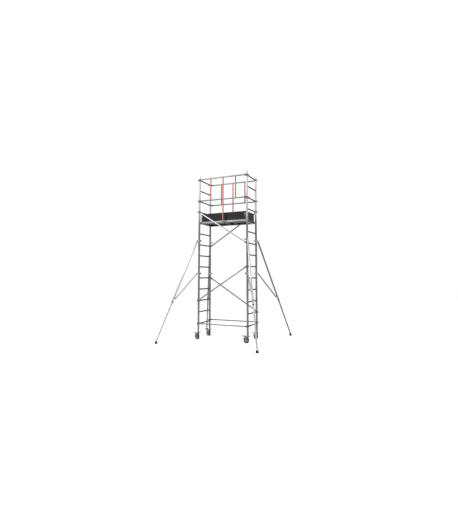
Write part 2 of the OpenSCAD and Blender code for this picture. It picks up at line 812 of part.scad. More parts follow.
module stabiliser_tube(i) {
  color("silver") at_corner(SIDE_X[i], SIDE_Y[i]) {
    clamp_body(top_clamp_z);
    clamp_knob(top_clamp_z);
    at_stabiliser(top_clamp_z) translate([clevis_r, 0, 0]) {
      cross_bolt(clevis_half_w);
      rotate([0, 180 - main_tilt, 0]) tongued_tube(main_d, main_top_s, main_l, false);
    }
  }
}

// Collar round the wide tube, with a clevis for the strut
module strut_collar() {
  bore_r = main_d / 2 + plug_gap;
  collar_h = 44;
  clevis_in = tongue_t / 2 + move_gap;
  difference() {
    union() {
      cylinder(h = collar_h, r = bore_r + collar_wall, center = true);
      for (side = [-1, 1]) translate([0, side > 0 ? clevis_in : -clevis_in - clevis_t, 0]) {
        translate([bore_r, 0, -16]) cube([collar_arm - bore_r, clevis_t, 32]);
        translate([collar_arm, clevis_t, 0]) rotate([90, 0, 0]) cylinder(h = clevis_t, r = 16);
      }
    }
    cylinder(h = 2 * collar_h, r = bore_r, center = true);
    translate([collar_arm, collar_arm, 0]) rotate([90, 0, 0])
      cylinder(h = 2 * collar_arm, r = bolt_r + weld_gap);
  }
}

module stabiliser_strut(i) {
  color("silver") at_corner(SIDE_X[i], SIDE_Y[i]) {
    clamp_body(strut_clamp_z);
    clamp_knob(strut_clamp_z);
    at_stabiliser(strut_clamp_z) translate([clevis_r, 0, 0]) {
      cross_bolt(clevis_half_w);
      rotate([0, 180 - strut_tilt, 0]) tongued_tube(strut_d, strut_end_s, strut_axis_l, true);
    }
    at_stabiliser(collar_eye[1]) translate([collar_eye[0], 0, 0]) cross_bolt(clevis_half_w);
    at_stabiliser(top_clamp_z) translate([clevis_r, 0, 0]) rotate([0, 180 - main_tilt, 0])
      translate([0, 0, collar_s]) strut_collar();
  }
}

// The thin leg slides in the wide tube; its tongue carries the pin of the foot
module stabiliser_leg(i) {
  leg_d = main_d - 2 * stabiliser_wall - 2 * move_gap;
  tongue_l = 60;
  pin_half = foot_d / 2 - 2;
  color("gainsboro") at_corner(SIDE_X[i], SIDE_Y[i])
    at_stabiliser(top_clamp_z) translate([clevis_r, 0, 0]) rotate([0, 180 - main_tilt, 0]) {
      translate([0, 0, main_l - leg_overlap])
        tube(leg_d, stabiliser_wall, main_axis_l - main_l + leg_overlap - tongue_l / 1.5);
      translate([0, 0, main_axis_l]) {
        translate([-foot_tongue_r, -foot_tongue_t / 2, -tongue_l])
          cube([2 * foot_tongue_r, foot_tongue_t, tongue_l]);
        rotate([90, 0, 0]) cylinder(h = foot_tongue_t, r = foot_tongue_r, center = true);
        rotate([90, 0, 0]) cylinder(h = 2 * pin_half, r = bolt_r, center = true);
      }
    }
}

// Barrel-shaped rubber foot, slotted for the tongue of the leg, that tilts on the leg's pin
module stabiliser_foot(i) {
  foot_r = foot_d / 2;
  slot_w = foot_tongue_t + 2 * move_gap;
  slot_z = foot_pin_z - foot_tongue_r - 3;
  color("black") at_corner(SIDE_X[i], SIDE_Y[i])
    rotate([0, 0, stabiliser_turn]) translate([foot_reach, 0, 0]) difference() {
      rotate_extrude() polygon([
        [0, 0],
        [foot_r - 6, 0],
        [foot_r - 1.5, 2.5],
        [foot_r, 7],
        [foot_r, foot_top_z - 24],
        [foot_r - 3, foot_top_z - 12],
        [foot_r - 9, foot_top_z - 3],
        [foot_r - 15, foot_top_z],
        [0, foot_top_z]
      ]);
      translate([-foot_d, -slot_w / 2, slot_z]) cube([2 * foot_d, slot_w, foot_top_z]);
      translate([0, 0, foot_pin_z]) rotate([90, 0, 0])
        cylinder(h = 2 * foot_d, r = bolt_r + shaft_gap, center = true);
    }
}

// ---- What is drawn ----

base_frame(-1);  // left_base_frame
base_frame(1);  // right_base_frame
top_frame(-1);  // left_top_frame
top_frame(1);  // right_top_frame
frame_spigots();
spigot_clips();
listed_brace(0);  // front_base_brace
listed_brace(1);  // rear_base_brace
listed_brace(2);  // front_lower_diagonal
listed_brace(3);  // rear_lower_diagonal
listed_brace(4);  // front_upper_diagonal
listed_brace(5);  // rear_upper_diagonal
brace_claws();
claw_latches();
guardrail(6);  // front_guardrail
guardrail(8);  // rear_guardrail
guardrail_bars();
platform_frame();
platform_hooks();
deck_boards();
trapdoor();
trapdoor_leaves();
trapdoor_hinges();
trapdoor_latch();
long_toe_board(-1);  // front_toe_board
long_toe_board(1);  // rear_toe_board
end_toe_boards();
castor_stems();
for (i = [0 : 3]) {
  fork(i);
  wheel(i);
  tyre(i);
  brake_pedal(i);
  stabiliser_tube(i);
  stabiliser_strut(i);
  stabiliser_leg(i);
  stabiliser_foot(i);
}
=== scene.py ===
"""Looks of the mobile tower scaffold, in metres, with +Z up and the bay along X."""

import math

import bmesh
import bpy
from mathutils import Matrix, Vector
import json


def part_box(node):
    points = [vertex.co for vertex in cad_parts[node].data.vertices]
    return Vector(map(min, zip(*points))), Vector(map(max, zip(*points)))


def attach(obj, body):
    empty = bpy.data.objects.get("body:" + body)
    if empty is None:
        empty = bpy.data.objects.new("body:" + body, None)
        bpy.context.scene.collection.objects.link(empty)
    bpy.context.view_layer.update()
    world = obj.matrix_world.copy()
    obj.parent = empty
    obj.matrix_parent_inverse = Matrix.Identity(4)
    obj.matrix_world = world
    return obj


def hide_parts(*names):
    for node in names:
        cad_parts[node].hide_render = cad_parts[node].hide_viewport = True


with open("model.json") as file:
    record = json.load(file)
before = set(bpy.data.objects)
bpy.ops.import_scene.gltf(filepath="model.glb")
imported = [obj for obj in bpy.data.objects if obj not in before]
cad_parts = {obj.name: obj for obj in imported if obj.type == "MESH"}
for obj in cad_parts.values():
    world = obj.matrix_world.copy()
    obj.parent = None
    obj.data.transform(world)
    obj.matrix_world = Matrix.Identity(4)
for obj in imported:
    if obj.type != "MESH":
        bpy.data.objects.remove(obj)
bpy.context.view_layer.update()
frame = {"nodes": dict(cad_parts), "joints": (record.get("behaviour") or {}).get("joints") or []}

# ---------------------------------------------------------------- camera

CAMERA_PLACE = Vector((4.047, -8.643, 1.576))
CAMERA_TURN = math.radians(24.88)
CAMERA_RISE = math.radians(7.06)

lens = bpy.data.cameras.new("tower_camera")
lens.lens = 25.43
lens.sensor_width = 36
lens.shift_y = -0.0694
lens.clip_end = 200
camera = bpy.data.objects.new("tower_camera", lens)
bpy.context.scene.collection.objects.link(camera)
looking = Vector(
    (
        -math.sin(CAMERA_TURN) * math.cos(CAMERA_RISE),
        math.cos(CAMERA_TURN) * math.cos(CAMERA_RISE),
        math.sin(CAMERA_RISE),
    )
)
camera.location = CAMERA_PLACE
camera.rotation_mode = "QUATERNION"
camera.rotation_quaternion = looking.to_track_quat("-Z", "Y")
bpy.context.scene.camera = camera

# ---------------------------------------------------------------- sizes

JOINTS = {joint["name"]: joint for joint in frame["joints"]}
CORNERS = ("front_left", "front_right", "rear_left", "rear_right")
MM = 0.001
QUARTER = math.pi / 2
UPRIGHT_R = 0.025
UPRIGHT_WALL = 0.002
FRAME_JOINT_GAP = 0.0002
RUNG_R = 0.016
RUNG_PITCH = 0.28
RUNGS_PER_FRAME = 7
FIRST_RUNG_RISE = 0.2
REAR_BASE_BRACE_RISE = 0.03
BRACE_R = 0.016
RAIL_R = 0.017
BRACE_WALL = 0.0016
BRACE_OFFSET = 0.047
CLAW_SOCKET_WALL = 0.0037
TUBE_BACK = 0.008
BAR_PITCH = 0.343
FRONT_BAR_SHIFT = 0.033
REAR_BAR_SHIFT = -0.005

upright_x = abs(JOINTS["front_right_swivel"]["pos_m"][0])
upright_y = abs(JOINTS["front_right_swivel"]["pos_m"][1])
leg_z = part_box("left_base_frame")[0].z
joint_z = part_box("left_base_frame")[1].z
top_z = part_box("left_top_frame")[1].z
deck_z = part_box("deck_boards")[1].z


def rung_z(number):
    """Height of the middle of a rung; the lowest one is number 1."""
    return leg_z + FIRST_RUNG_RISE + (number - 1) * RUNG_PITCH


rear_base_z = rung_z(1) + REAR_BASE_BRACE_RISE

# Each brace: node, side, radius, height of its left end and height of its right end
BRACES = (
    ("front_base_brace", -1, BRACE_R, rung_z(1), rung_z(1)),
    ("rear_base_brace", 1, BRACE_R, rear_base_z, rear_base_z),
    ("front_lower_diagonal", -1, BRACE_R, rung_z(3), rung_z(6)),
    ("rear_lower_diagonal", 1, BRACE_R, rung_z(5), rung_z(2)),
    ("front_upper_diagonal", -1, BRACE_R, rung_z(11), rung_z(8)),
    ("rear_upper_diagonal", 1, BRACE_R, rung_z(8), rung_z(11)),
    ("front_guardrail", -1, RAIL_R, rung_z(12), rung_z(12)),
    ("front_guardrail", -1, RAIL_R, rung_z(14), rung_z(14)),
    ("rear_guardrail", 1, RAIL_R, rung_z(12), rung_z(12)),
    ("rear_guardrail", 1, RAIL_R, rung_z(14), rung_z(14)),
)

# ---------------------------------------------------------------- finishes


class Finish:
    """A surface finish, with the nodes that its pattern is made of."""

    def __init__(self, name, metallic, specular=0.5):
        self.material = bpy.data.materials.new(name)
        self.material.use_nodes = True
        self.nodes = self.material.node_tree.nodes
        self.links = self.material.node_tree.links
        self.shader = self.nodes["Principled BSDF"]
        self.shader.inputs["Metallic"].default_value = metallic
        self.shader.inputs["Specular IOR Level"].default_value = specular
        self.place = self.nodes.new("ShaderNodeTexCoord").outputs["Object"]

    def turned(self, turn=(0, 0, 0), stretch=(1, 1, 1)):
        """Places along a tube: its own Z is turned into the tube's direction, then stretched."""
        mapping = self.nodes.new("ShaderNodeMapping")
        mapping.vector_type = "TEXTURE"
        mapping.inputs["Rotation"].default_value = turn
        mapping.inputs["Scale"].default_value = [1 / part for part in stretch]
        self.links.new(self.place, mapping.inputs["Vector"])
        return mapping.outputs["Vector"]

    def height(self):
        parts = self.nodes.new("ShaderNodeSeparateXYZ")
        self.links.new(self.place, parts.inputs["Vector"])
        return parts.outputs["Z"]

    def grain(self, scale, where=None, detail=4, roughness=0.55):
        noise = self.nodes.new("ShaderNodeTexNoise")
        noise.inputs["Scale"].default_value = scale
        noise.inputs["Detail"].default_value = detail
        noise.inputs["Roughness"].default_value = roughness
        self.links.new(where or self.place, noise.inputs["Vector"])
        return noise.outputs["Fac"]

    def cells(self, scale):
        voronoi = self.nodes.new("ShaderNodeTexVoronoi")
        voronoi.inputs["Scale"].default_value = scale
        self.links.new(self.place, voronoi.inputs["Vector"])
        return voronoi.outputs["Color"]

    def bands(self, scale, where, axis="X", distortion=0.0):
        wave = self.nodes.new("ShaderNodeTexWave")
        wave.bands_direction = axis
        wave.inputs["Scale"].default_value = scale
        wave.inputs["Distortion"].default_value = distortion
        wave.inputs["Detail Scale"].default_value = 2
        self.links.new(where, wave.inputs["Vector"])
        return wave.outputs["Fac"]

    def spread(self, value, low, high, to_low=0.0, to_high=1.0):
        mapped = self.nodes.new("ShaderNodeMapRange")
        mapped.inputs["From Min"].default_value = low
        mapped.inputs["From Max"].default_value = high
        mapped.inputs["To Min"].default_value = to_low
        mapped.inputs["To Max"].default_value = to_high
        self.links.new(value, mapped.inputs["Value"])
        return mapped.outputs["Result"]

    def join(self, operation, first, second):
        math_node = self.nodes.new("ShaderNodeMath")
        math_node.operation = operation
        for socket, value in zip(math_node.inputs, (first, second)):
            if isinstance(value, (int, float)):
                socket.default_value = value
            else:
                self.links.new(value, socket)
        return math_node.outputs[0]

    def sum_of(self, first, first_share, second, second_share):
        parts = self.join("MULTIPLY", first, first_share), self.join("MULTIPLY", second, second_share)
        return self.join("ADD", *parts)

    def blend(self, share, first, second):
        mix = self.nodes.new("ShaderNodeMix")
        mix.data_type = "RGBA"
        self.links.new(share, mix.inputs["Factor"])
        for socket, value in ((mix.inputs[6], first), (mix.inputs[7], second)):
            if isinstance(value, tuple):
                socket.default_value = (*value, 1)
            else:
                self.links.new(value, socket)
        return mix.outputs[2]

    def cover(self, base, pattern, share, tone):
        """A base with a share of another tone over it where the pattern is strong."""
        return self.blend(self.join("MULTIPLY", pattern, share), base, tone)

    def colour(self, value):
        self.links.new(value, self.shader.inputs["Base Color"])

    def roughness(self, value, low, high):
        self.links.new(self.spread(value, 0.25, 0.75, low, high), self.shader.inputs["Roughness"])

    def relief(self, height, strength, depth):
        bump = self.nodes.new("ShaderNodeBump")
        bump.inputs["Strength"].default_value = strength
        bump.inputs["Distance"].default_value = depth
        self.links.new(height, bump.inputs["Height"])
        self.links.new(bump.outputs["Normal"], self.shader.inputs["Normal"])


def scaled(tone, factor):
    return tuple(factor * part for part in tone)


def drawn_aluminium(name, bright, dull, turn=(0, 0, 0), rough=(0.3, 0.52), metallic=0.8, painted_lit_upper=None):
    """Extruded tube: fine lines along the local Z, oxide clouds and handling scuffs.

    Where tones for the upper part are given, the tube is painted lighter above the platform than below it:
    painted light on the upper tubes.
    """
    finish = Finish(name, metallic)
    lines = finish.grain(520, finish.turned(turn, (1, 1, 0.015)), detail=3, roughness=0.7)
    clouds = finish.grain(5, finish.turned(turn, (1, 1, 0.35)), detail=5, roughness=0.6)
    marks = finish.grain(70, finish.turned(turn, (1, 1, 0.3)), detail=6, roughness=0.75)
    scuffs = finish.spread(marks, 0.6, 0.72)
    base = finish.blend(finish.spread(clouds, 0.3, 0.7), bright, dull)
    # Painted light: above the platform the tube blends to the lighter upper tones.
    if painted_lit_upper:
        upper = finish.blend(finish.spread(clouds, 0.3, 0.7), *painted_lit_upper)
        level = finish.join("ADD", finish.height(), finish.join("MULTIPLY", clouds, 0.3))
        painted_lit_from, painted_lit_full = deck_z + 0.05, deck_z + 0.3
        base = finish.blend(finish.spread(level, painted_lit_from, painted_lit_full), base, upper)
    base = finish.cover(base, scuffs, 0.35, scaled(dull, 0.6))
    finish.colour(finish.cover(base, finish.spread(lines, 0.35, 0.65), 0.18, dull))
    finish.roughness(finish.sum_of(lines, 0.5, clouds, 0.5), *rough)
    finish.relief(finish.join("ADD", lines, finish.join("MULTIPLY", scuffs, -0.6)), 0.25, 0.0003)
    finish.shader.inputs["Anisotropic"].default_value = 0.4
    finish.shader.inputs["Specular Tint"].default_value = (0.4, 0.4, 0.42, 1)
    return finish.material


def rippled_weld(name):
    finish = Finish(name, 0.8)
    ripples = finish.grain(300, detail=3)
    soot = finish.grain(45, detail=4)
    finish.colour(finish.blend(finish.spread(soot, 0.35, 0.7), (0.34, 0.34, 0.34), (0.16, 0.16, 0.165)))
    finish.roughness(ripples, 0.35, 0.6)
    finish.relief(ripples, 0.5, 0.0008)
    return finish.material


def zinc_plate(name, light, dark, rough=(0.3, 0.5)):
    """Plated steel: flat spangles of slightly different grey, with a dull bloom."""
    finish = Finish(name, 0.9)
    spangle = finish.cells(110)
    bloom = finish.grain(14, detail=5)
    fine = finish.grain(600, detail=3)
    base = finish.blend(finish.spread(spangle, 0.1, 0.9), light, dark)
    finish.colour(finish.cover(base, finish.spread(bloom, 0.5, 0.72), 0.5, scaled(light, 1.25)))
    finish.roughness(finish.sum_of(bloom, 0.7, fine, 0.3), *rough)
    finish.relief(fine, 0.12, 0.0003)
    return finish.material


def sand_casting(name, light, dark):
    finish = Finish(name, 0.55)
    pits = finish.grain(420, detail=5, roughness=0.7)
    patches = finish.grain(22, detail=4)
    finish.colour(finish.blend(finish.spread(patches, 0.35, 0.65), light, dark))
    finish.roughness(pits, 0.45, 0.7)
    finish.relief(pits, 0.45, 0.0008)
    return finish.material


def powder_coat(name, fresh, faded, rubbed):
    """Baked paint: orange-peel relief, a slight fade in patches and paler rub marks."""
    finish = Finish(name, 0.0)
    peel = finish.grain(420, detail=2, roughness=0.4)
    fade = finish.grain(6, detail=5)
    marks = finish.grain(60, finish.turned(stretch=(1, 1, 0.25)), detail=6, roughness=0.7)
    rubs = finish.spread(marks, 0.62, 0.7)
    base = finish.blend(finish.spread(fade, 0.35, 0.7), fresh, faded)
    finish.colour(finish.cover(base, rubs, 0.5, rubbed))
    finish.roughness(finish.sum_of(fade, 0.6, rubs, 0.4), 0.3, 0.5)
    finish.relief(peel, 0.25, 0.0004)
    finish.shader.inputs["Coat Weight"].default_value = 0.25
    finish.shader.inputs["Coat Roughness"].default_value = 0.3
    return finish.material


def moulded_plastic(name, base, pale, rough=(0.35, 0.5)):
    finish = Finish(name, 0.0)
    skin = finish.grain(900, detail=3)
    flow = finish.grain(25, detail=4)
    scuffs = finish.spread(finish.grain(160, detail=6, roughness=0.75), 0.62, 0.74)
    tone = finish.blend(finish.spread(flow, 0.35, 0.65), base, scaled(base, 0.8))
    finish.colour(finish.cover(tone, scuffs, 0.45, pale))
    finish.roughness(finish.sum_of(skin, 0.6, flow, 0.4), *rough)
    finish.relief(skin, 0.2, 0.0003)
    return finish.material


def film_face(name, base, worn, mesh_relief, rough=(0.32, 0.6), specular=0.5):
    """Phenolic film on plywood, with its pressed wire-mesh pattern, dust and worn patches."""
    finish = Finish(name, 0.0, specular)
    warp = finish.bands(170, finish.turned((0, 0, QUARTER / 2)))
    weft = finish.bands(170, finish.turned((0, 0, -QUARTER / 2)))
    mesh = finish.join("MAXIMUM", warp, weft)
    wear = finish.grain(7, detail=6, roughness=0.65)
    fine = finish.grain(240, detail=4)
    dust = finish.spread(wear, 0.5, 0.75)
    tone = finish.blend(finish.spread(fine, 0.3, 0.7), base, scaled(base, 0.7))
    finish.colour(finish.cover(tone, dust, 0.55, worn))
    finish.roughness(finish.sum_of(wear, 0.7, fine, 0.3), *rough)
    finish.relief(finish.sum_of(mesh, mesh_relief, fine, 0.25), 0.35, 0.0006)
    return finish.material


def plywood_edge(name, turn):
    """Sealed plywood edge: pale and dark plies across the local Z."""
    finish = Finish(name, 0.0)
    plies = finish.bands(150, finish.turned(turn), "Z", distortion=0.4)
    fibre = finish.grain(60, finish.turned(turn, (0.15, 0.15, 4)), detail=5)
    grime = finish.grain(12, detail=4)
    tone = finish.blend(plies, (0.17, 0.10, 0.06), (0.075, 0.045, 0.03))
    finish.colour(finish.cover(tone, finish.spread(grime, 0.4, 0.7), 0.6, (0.05, 0.04, 0.035)))
    finish.roughness(fibre, 0.55, 0.8)
    finish.relief(finish.join("ADD", plies, fibre), 0.3, 0.0005)
    return finish.material


def rubber(name, base, dust):
    finish = Finish(name, 0.0, specular=0.16)
    skin = finish.grain(700, detail=3)
    dirt = finish.grain(35, detail=6, roughness=0.7)
    finish.colour(finish.cover(base, finish.spread(dirt, 0.48, 0.72), 0.5, dust))
    finish.roughness(dirt, 0.55, 0.85)
    finish.relief(skin, 0.3, 0.0004)
    return finish.material


# Uprights: the lighter tones above the platform and the darker ones below it are painted light and shade.
UPRIGHT_ALUMINIUM = drawn_aluminium(
    "upright_aluminium",
    (0.19, 0.194, 0.198),
    (0.13, 0.133, 0.136),
    painted_lit_upper=((0.46, 0.465, 0.47), (0.34, 0.345, 0.35)),
)
RUNG_ALUMINIUM = drawn_aluminium(
    "ribbed_rung_aluminium",
    (0.08, 0.082, 0.084),
    (0.055, 0.057, 0.06),
    (QUARTER, 0, 0),
    rough=(0.35, 0.6),
    metallic=0.7,
)
WELD = rippled_weld("weld_bead")
SPIGOT_ALUMINIUM = drawn_aluminium(
    "spigot_aluminium", (0.58, 0.58, 0.58), (0.42, 0.42, 0.43), rough=(0.25, 0.4)
)
DECK_ALUMINIUM = drawn_aluminium(
    "platform_rail_aluminium", (0.33, 0.33, 0.335), (0.21, 0.21, 0.215), (0, QUARTER, 0)
)
BEAM_COAT = powder_coat(
    "platform_beam_coat", (0.022, 0.022, 0.023), (0.035, 0.034, 0.033), (0.10, 0.10, 0.10)
)
CAP_COAT = powder_coat(
    "toe_board_cap_coat", (0.040, 0.036, 0.034), (0.062, 0.056, 0.052), (0.16, 0.15, 0.14)
)
ZINC = zinc_plate("zinc_plate", (0.30, 0.305, 0.315), (0.19, 0.195, 0.205))
BOLT_ZINC = zinc_plate("bolt_zinc", (0.46, 0.455, 0.42), (0.32, 0.315, 0.29), rough=(0.22, 0.38))
FORK_ZINC = zinc_plate("fork_zinc", (0.18, 0.183, 0.19), (0.11, 0.113, 0.12))
PEDAL_ZINC = zinc_plate("pedal_zinc", (0.25, 0.254, 0.26), (0.165, 0.169, 0.175))
CLAW_CASTING = sand_casting("claw_casting", (0.15, 0.15, 0.155), (0.075, 0.075, 0.08))
CLAMP_CASTING = sand_casting("clamp_casting", (0.34, 0.345, 0.35), (0.21, 0.215, 0.22))
LATCH_RED = moulded_plastic("latch_red", (0.33, 0.030, 0.027), (0.46, 0.20, 0.18), rough=(0.25, 0.42))
BAR_ORANGE = powder_coat("bar_orange", (0.32, 0.045, 0.020), (0.33, 0.066, 0.032), (0.48, 0.23, 0.17))
PLATE_COAT = powder_coat(
    "corner_plate_coat", (0.020, 0.019, 0.019), (0.034, 0.031, 0.030), (0.09, 0.085, 0.08)
)
DECK_FILM = film_face("deck_film", (0.022, 0.016, 0.013), (0.085, 0.072, 0.062), 1.0, specular=0.3)
SMOOTH_FILM = {"mesh_relief": 0.2, "rough": (0.5, 0.75), "specular": 0.15}
TOE_FILM = film_face("toe_board_film", (0.012, 0.010, 0.010), (0.030, 0.026, 0.025), **SMOOTH_FILM)
END_TOE_FILM = film_face("end_toe_board_film", (0.024, 0.017, 0.014), (0.058, 0.046, 0.038), **SMOOTH_FILM)
DECK_EDGE = plywood_edge("deck_ply_edge", (0, 0, 0))
TOE_EDGE = plywood_edge("toe_board_ply_edge", (QUARTER, 0, 0))
END_TOE_EDGE = plywood_edge("end_toe_board_ply_edge", (0, QUARTER, 0))
BLACK_PLASTIC = moulded_plastic("black_plastic", (0.014, 0.014, 0.015), (0.08, 0.08, 0.08))
WHEEL_PLASTIC = moulded_plastic(
    "wheel_plastic", (0.13, 0.132, 0.135), (0.22, 0.22, 0.22), rough=(0.35, 0.55)
)
TYRE_RUBBER = rubber("tyre_rubber", (0.005, 0.005, 0.005), (0.018, 0.017, 0.016))
FOOT_RUBBER = rubber("foot_rubber", (0.007, 0.007, 0.007), (0.035, 0.033, 0.031))

# ---------------------------------------------------------------- making pieces

MERGE = 1e-6
CAD_MERGE = 1e-5
CAD_FLAT = math.radians(0.4)
NO_AREA = 1e-12


def shape(bm):
    """Keeps a finished shape, so that it can be put into pieces many times."""
    bmesh.ops.remove_doubles(bm, verts=bm.verts, dist=MERGE)
    bmesh.ops.recalc_face_normals(bm, faces=bm.faces)
    kept = bpy.data.meshes.new("shape")
    bm.to_mesh(kept)
    bm.free()
    return kept


def put(bm, kept, place=Matrix(), finish=0):
    """Adds a kept shape to a piece, at its place and in one of the piece's finishes."""
    copy = kept.copy()
    copy.transform(place)
    if place.determinant() < 0:
        copy.flip_normals()
    for face in copy.polygons:
        face.material_index = finish
    bm.from_mesh(copy)
    bpy.data.meshes.remove(copy)


def piece(name, bm, body, finishes, replaces=(), smooth_below=32):
    """Makes a mesh a piece of the tower that moves with a body."""
    mesh = bpy.data.meshes.new(name)
    bm.to_mesh(mesh)
    bm.free()
    for finish in finishes:
        mesh.materials.append(finish)
    mesh.shade_smooth()
    mesh.set_sharp_from_angle(angle=math.radians(smooth_below))
    made = bpy.data.objects.new(name, mesh)
    bpy.context.scene.collection.objects.link(made)
    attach(made, body)
    if replaces:
        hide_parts(*replaces)


def at(x, y, z):
    return Matrix.Translation((x, y, z))


def turn(angle, axis):
    return Matrix.Rotation(angle, 4, axis)


def spun(bm, axis, steps):
    """Spins all that a mesh holds once round an axis through the origin."""
    bmesh.ops.spin(
        bm,
        geom=bm.verts[:] + bm.edges[:],
        cent=(0, 0, 0),
        axis=axis,
        angle=2 * math.pi,
        steps=steps,
        use_merge=True,
    )


def ring(outline, steps):
    """A closed outline of radius and height, spun round Z."""
    bm = bmesh.new()
    corners = [bm.verts.new((radius, 0, height)) for radius, height in outline]
    for ends in zip(corners, corners[1:] + corners[:1]):
        bm.edges.new(ends)
    spun(bm, (0, 0, 1), steps)
    return bm


def turned(outline, steps=40):
    """A lathe-turned solid, spun from a closed outline of radius and height."""
    bm = ring(outline, steps)
    bmesh.ops.remove_doubles(bm, verts=bm.verts, dist=MERGE)
    poles = [face for face in bm.faces if face.calc_area() < NO_AREA]
    bmesh.ops.delete(bm, geom=poles, context="FACES")
    return shape(bm)


def tube(radius, wall, length, rim=0.0004):
    return turned(
        [
            (radius - wall, rim),
            (radius - wall + rim, 0),
            (radius - rim, 0),
            (radius, rim),
            (radius, length - rim),
            (radius - rim, length),
            (radius - wall + rim, length),
            (radius - wall, length - rim),
        ]
    )


def soften(bm, rounding, segments=2, above=30):
    """Rounds every edge of a solid that turns by more than an angle."""
    sharp = [
        edge for edge in bm.edges if edge.is_manifold and edge.calc_face_angle(0) > math.radians(above)
    ]
    bmesh.ops.bevel(
        bm,
        geom=sharp,
        offset=rounding,
        offset_type="OFFSET",
        segments=segments,
        profile=0.5,
        affect="EDGES",
        clamp_overlap=True,
        material=-1,
    )


def block(size, rounding, place=Matrix()):
    """A bar with rounded edges, centred on its place."""
    bm = bmesh.new()
    bmesh.ops.create_cube(bm, size=1, matrix=place @ Matrix.Diagonal((*size, 1)))
    soften(bm, rounding)
    return shape(bm)


def dome(radius, height):
    """A rivet or screw head that stands on the XY plane."""
    bm = bmesh.new()
    bmesh.ops.create_uvsphere(bm, u_segments=14, v_segments=8, radius=radius)
    ball = bm.verts[:] + bm.edges[:] + bm.faces[:]
    bmesh.ops.bisect_plane(bm, geom=ball, plane_co=(0, 0, 0), plane_no=(0, 0, -1), clear_outer=True)
    rim = [edge for edge in bm.edges if edge.is_boundary]
    bmesh.ops.edgeloop_fill(bm, edges=rim)
    bmesh.ops.scale(bm, vec=(1, 1, height / radius), verts=bm.verts)
    return shape(bm)


def from_frame(node):
    """The node's own solid, merged, ready to be rounded and finished."""
    bm = bmesh.new()
    bm.from_mesh(frame["nodes"][node].data)
    bmesh.ops.remove_doubles(bm, verts=bm.verts, dist=CAD_MERGE)
    bmesh.ops.dissolve_limit(bm, angle_limit=CAD_FLAT, verts=bm.verts, edges=bm.edges)
    for face in bm.faces:
        face.material_index = 0
    return bm


def solids(bm):
    """The separate solids of a mesh, each as its list of faces."""
    left = set(bm.faces)
    found = []
    while left:
        group = {left.pop()}
        newest = set(group)
        while newest:
            newest = {near for face in newest for edge in face.edges for near in edge.link_faces} - group
            group |= newest
        left -= group
        found.append(list(group))
    return found


def spans(faces):
    """Lowest and highest corner of some faces."""
    points = [vert.co for face in faces for vert in face.verts]
    low = Vector([min(point[axis] for point in points) for axis in range(3)])
    high = Vector([max(point[axis] for point in points) for axis in range(3)])
    return low, high


# ---------------------------------------------------------------- end frames


def ribbed_rung():
    """A rung along Y: a tube with grip ribs all round, from one upright to the other."""
    ribs, rib_depth, seat = 20, 0.7 * MM, 1 * MM
    bm = bmesh.new()
    bmesh.ops.create_circle(bm, cap_ends=True, radius=RUNG_R, segments=4 * ribs)
    for number, vert in enumerate(bm.verts):
        if number % 4 > 1:
            vert.co *= (RUNG_R - rib_depth) / RUNG_R
    half = upright_y - UPRIGHT_R + seat
    grown = bmesh.ops.extrude_face_region(bm, geom=bm.faces[:])
    moved = [part for part in grown["geom"] if isinstance(part, bmesh.types.BMVert)]
    bmesh.ops.translate(bm, vec=(0, 0, 2 * half), verts=moved)
    bmesh.ops.transform(bm, matrix=turn(QUARTER, "X") @ at(0, 0, -half), verts=bm.verts)
    return shape(bm)


def saddle_weld(tube_radius, upright_radius):
    """A rippled bead round a tube along Y, lying on the wall of an upright at the origin."""
    bead_r, lift, ripples, ripple = 2.6 * MM, 0.4 * MM, 28, 0.35 * MM
    bm = bmesh.new()
    bmesh.ops.create_circle(bm, radius=bead_r, segments=8, matrix=at(tube_radius + lift, 0, 0))
    spun(bm, (0, 1, 0), 2 * ripples)
    for vert in bm.verts:
        around = math.atan2(vert.co.z, vert.co.x)
        outward = Vector((vert.co.x, 0, vert.co.z)).normalized()
        vert.co += outward * ripple * math.sin(ripples * around)
        vert.co.y += math.sqrt(upright_radius**2 - min(abs(vert.co.x), upright_radius) ** 2)
    return shape(bm)


def end_frame(node, side_x, first_rung, low, high):
    """A ladder frame: two uprights and its rungs, with a weld round both ends of each rung."""
    bm = bmesh.new()
    upright = tube(UPRIGHT_R, UPRIGHT_WALL, high - low)
    rung = ribbed_rung()
    weld = saddle_weld(RUNG_R, UPRIGHT_R)
    for side_y in (-1, 1):
        put(bm, upright, at(side_x * upright_x, side_y * upright_y, low), 0)
    for number in range(first_rung, first_rung + RUNGS_PER_FRAME):
        put(bm, rung, at(side_x * upright_x, 0, rung_z(number)), 1)
        for side_y in (-1, 1):
            facing = Matrix.Diagonal((1, -side_y, 1, 1))
            put(bm, weld, at(side_x * upright_x, side_y * upright_y, rung_z(number)) @ facing, 2)
    finishes = (UPRIGHT_ALUMINIUM, RUNG_ALUMINIUM, WELD)
    piece(node + "_tubes", bm, "tower", finishes, (node,))


end_frame("left_base_frame", -1, 1, leg_z, joint_z)
end_frame("right_base_frame", 1, 1, leg_z, joint_z)
end_frame("left_top_frame", -1, 1 + RUNGS_PER_FRAME, joint_z + FRAME_JOINT_GAP, top_z)
end_frame("right_top_frame", 1, 1 + RUNGS_PER_FRAME, joint_z + FRAME_JOINT_GAP, top_z)


def softened(node, name, body, finishes, rounding, segments=2):
    """The node's own solid with rounded edges and its finishes."""
    bm = from_frame(node)
    soften(bm, rounding, segments)
    piece(name, bm, body, finishes, (node,))


softened("frame_spigots", "spigot_sleeves", "tower", (SPIGOT_ALUMINIUM,), 0.5 * MM)
softened("spigot_clips", "spigot_spring_clips", "tower", (BOLT_ZINC,), 0.5 * MM)

# ---------------------------------------------------------------- braces, rails and claws

